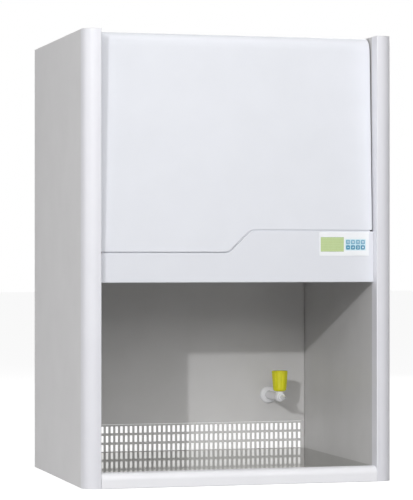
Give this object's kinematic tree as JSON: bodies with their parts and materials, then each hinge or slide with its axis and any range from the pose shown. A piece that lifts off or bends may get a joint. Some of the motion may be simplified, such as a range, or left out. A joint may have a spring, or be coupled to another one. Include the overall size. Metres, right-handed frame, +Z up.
{
  "type": "laminar flow hood",
  "caption": "Bench laminar flow hood: double-walled cabinet with an open work zone, slotted rear grille, gas tap, lifting filter cover, blower, filter and key panel.",
  "frame": {"origin": "on the bench, under the middle of the cabinet (bottom centre of the bounding box)", "axes": "+X to the right seen from the front, +Y towards the back, +Z up"},
  "size_m": [0.804, 0.627, 1.132],
  "materials": {
    "cabinet_white": "satin powder coat",
    "profile_white": "smooth powder coat on aluminium",
    "cap_plastic": "moulded",
    "chamber_grey": "satin powder coat",
    "polished_steel": "polished sheet",
    "zinc_steel": "galvanised sheet",
    "turned_steel": "turned",
    "motor_black": "black stove enamel",
    "foam": "closed-cell foam",
    "prefilter_fibre": "bonded polyester fibre",
    "filter_board": "plain fibre board",
    "filter_paper": "glass-fibre paper",
    "lamp_glass": "coated tube glass",
    "socket_plastic": "moulded",
    "reflector_white": "gloss paint",
    "ballast_metal": "painted case",
    "display_white": "printed polyester foil",
    "display_green": "unlit liquid crystal display",
    "key_blue": "moulded",
    "board_green": "solder mask",
    "tap_enamel": "epoxy enamel on brass",
    "tap_nozzle": "epoxy enamel on brass",
    "tap_brass": "machined",
    "knob_yellow": "moulded",
    "inlet_black": "moulded"
  },
  "bodies": {
    "cabinet": {"side_panel_left": "cabinet_white", "side_panel_right": "cabinet_white", "front_sill": "cabinet_white", "rear_cover": "cabinet_white", "roof_panel": "cabinet_white", "control_fascia": "cabinet_white", "corner_profile_left": "profile_white", "corner_profile_right": "profile_white", "top_cap_left": "cap_plastic", "top_cap_right": "cap_plastic", "foot_cap_left": "cap_plastic", "foot_cap_right": "cap_plastic", "inner_wall_left": "chamber_grey", "inner_wall_right": "chamber_grey", "back_wall": "chamber_grey", "rear_grille": "chamber_grey", "ceiling_plate": "chamber_grey", "diffuser": "chamber_grey", "worktop": "polished_steel", "base_tray": "zinc_steel", "plenum": "zinc_steel", "blower_housing": "zinc_steel", "prefilter_rail_left": "zinc_steel", "prefilter_rail_right": "zinc_steel", "cabinet_hinge_leaf": "zinc_steel", "hinge_pin": "zinc_steel", "fan_motor": "motor_black", "cover_buffers": "foam", "lower_gasket": "foam", "upper_gasket": "foam", "prefilter": "prefilter_fibre", "filter_frame": "filter_board", "filter_pleats": "filter_paper", "lamp_tube": "lamp_glass", "uv_tube": "lamp_glass", "lamp_sockets": "socket_plastic", "lamp_reflector": "reflector_white", "ballast": "ballast_metal", "display_bezel": "display_white", "display_window": "display_green", "control_board": "board_green", "tap_rosette": "tap_enamel", "tap_body": "tap_enamel", "hose_nozzle": "tap_nozzle", "tap_lock_nut": "tap_brass", "power_inlet": "inlet_black"},
    "cover": {"front_cover": "cabinet_white", "cover_hinge_leaf": "zinc_steel"},
    "knob": {"gas_knob": "knob_yellow", "tap_stem": "turned_steel"},
    "impeller": {"fan_wheel": "zinc_steel", "motor_shaft": "turned_steel"},
    "key_1": {"key_1": "key_blue"},
    "key_2": {"key_2": "key_blue"},
    "key_3": {"key_3": "key_blue"},
    "key_4": {"key_4": "key_blue"},
    "key_5": {"key_5": "key_blue"},
    "key_6": {"key_6": "key_blue"},
    "key_7": {"key_7": "key_blue"},
    "key_8": {"key_8": "key_blue"}
  },
  "joints": [
    {"name": "cover_lift", "type": "hinge", "parent": "cabinet", "child": "cover", "pos_m": [0, -0.196, 1.1264], "axis": [-1, 0, 0], "range_deg": [0, 80]},
    {"name": "gas_turn", "type": "hinge", "parent": "cabinet", "child": "knob", "pos_m": [0.251, 0.171, 0.23], "axis": [0, 0, 1], "range_deg": [0, 90]},
    {"name": "fan_spin", "type": "hinge", "parent": "cabinet", "child": "impeller", "pos_m": [0, 0.045, 0.9398], "axis": [1, 0, 0], "continuous": true},
    {"name": "key_1_press", "type": "slide", "parent": "cabinet", "child": "key_1", "axis": [0, 1, 0], "range_m": [0, 0.0008], "stiffness_N_per_m": 600},
    {"name": "key_2_press", "type": "slide", "parent": "cabinet", "child": "key_2", "axis": [0, 1, 0], "range_m": [0, 0.0008], "stiffness_N_per_m": 600},
    {"name": "key_3_press", "type": "slide", "parent": "cabinet", "child": "key_3", "axis": [0, 1, 0], "range_m": [0, 0.0008], "stiffness_N_per_m": 600},
    {"name": "key_4_press", "type": "slide", "parent": "cabinet", "child": "key_4", "axis": [0, 1, 0], "range_m": [0, 0.0008], "stiffness_N_per_m": 600},
    {"name": "key_5_press", "type": "slide", "parent": "cabinet", "child": "key_5", "axis": [0, 1, 0], "range_m": [0, 0.0008], "stiffness_N_per_m": 600},
    {"name": "key_6_press", "type": "slide", "parent": "cabinet", "child": "key_6", "axis": [0, 1, 0], "range_m": [0, 0.0008], "stiffness_N_per_m": 600},
    {"name": "key_7_press", "type": "slide", "parent": "cabinet", "child": "key_7", "axis": [0, 1, 0], "range_m": [0, 0.0008], "stiffness_N_per_m": 600},
    {"name": "key_8_press", "type": "slide", "parent": "cabinet", "child": "key_8", "axis": [0, 1, 0], "range_m": [0, 0.0008], "stiffness_N_per_m": 600}
  ]
}
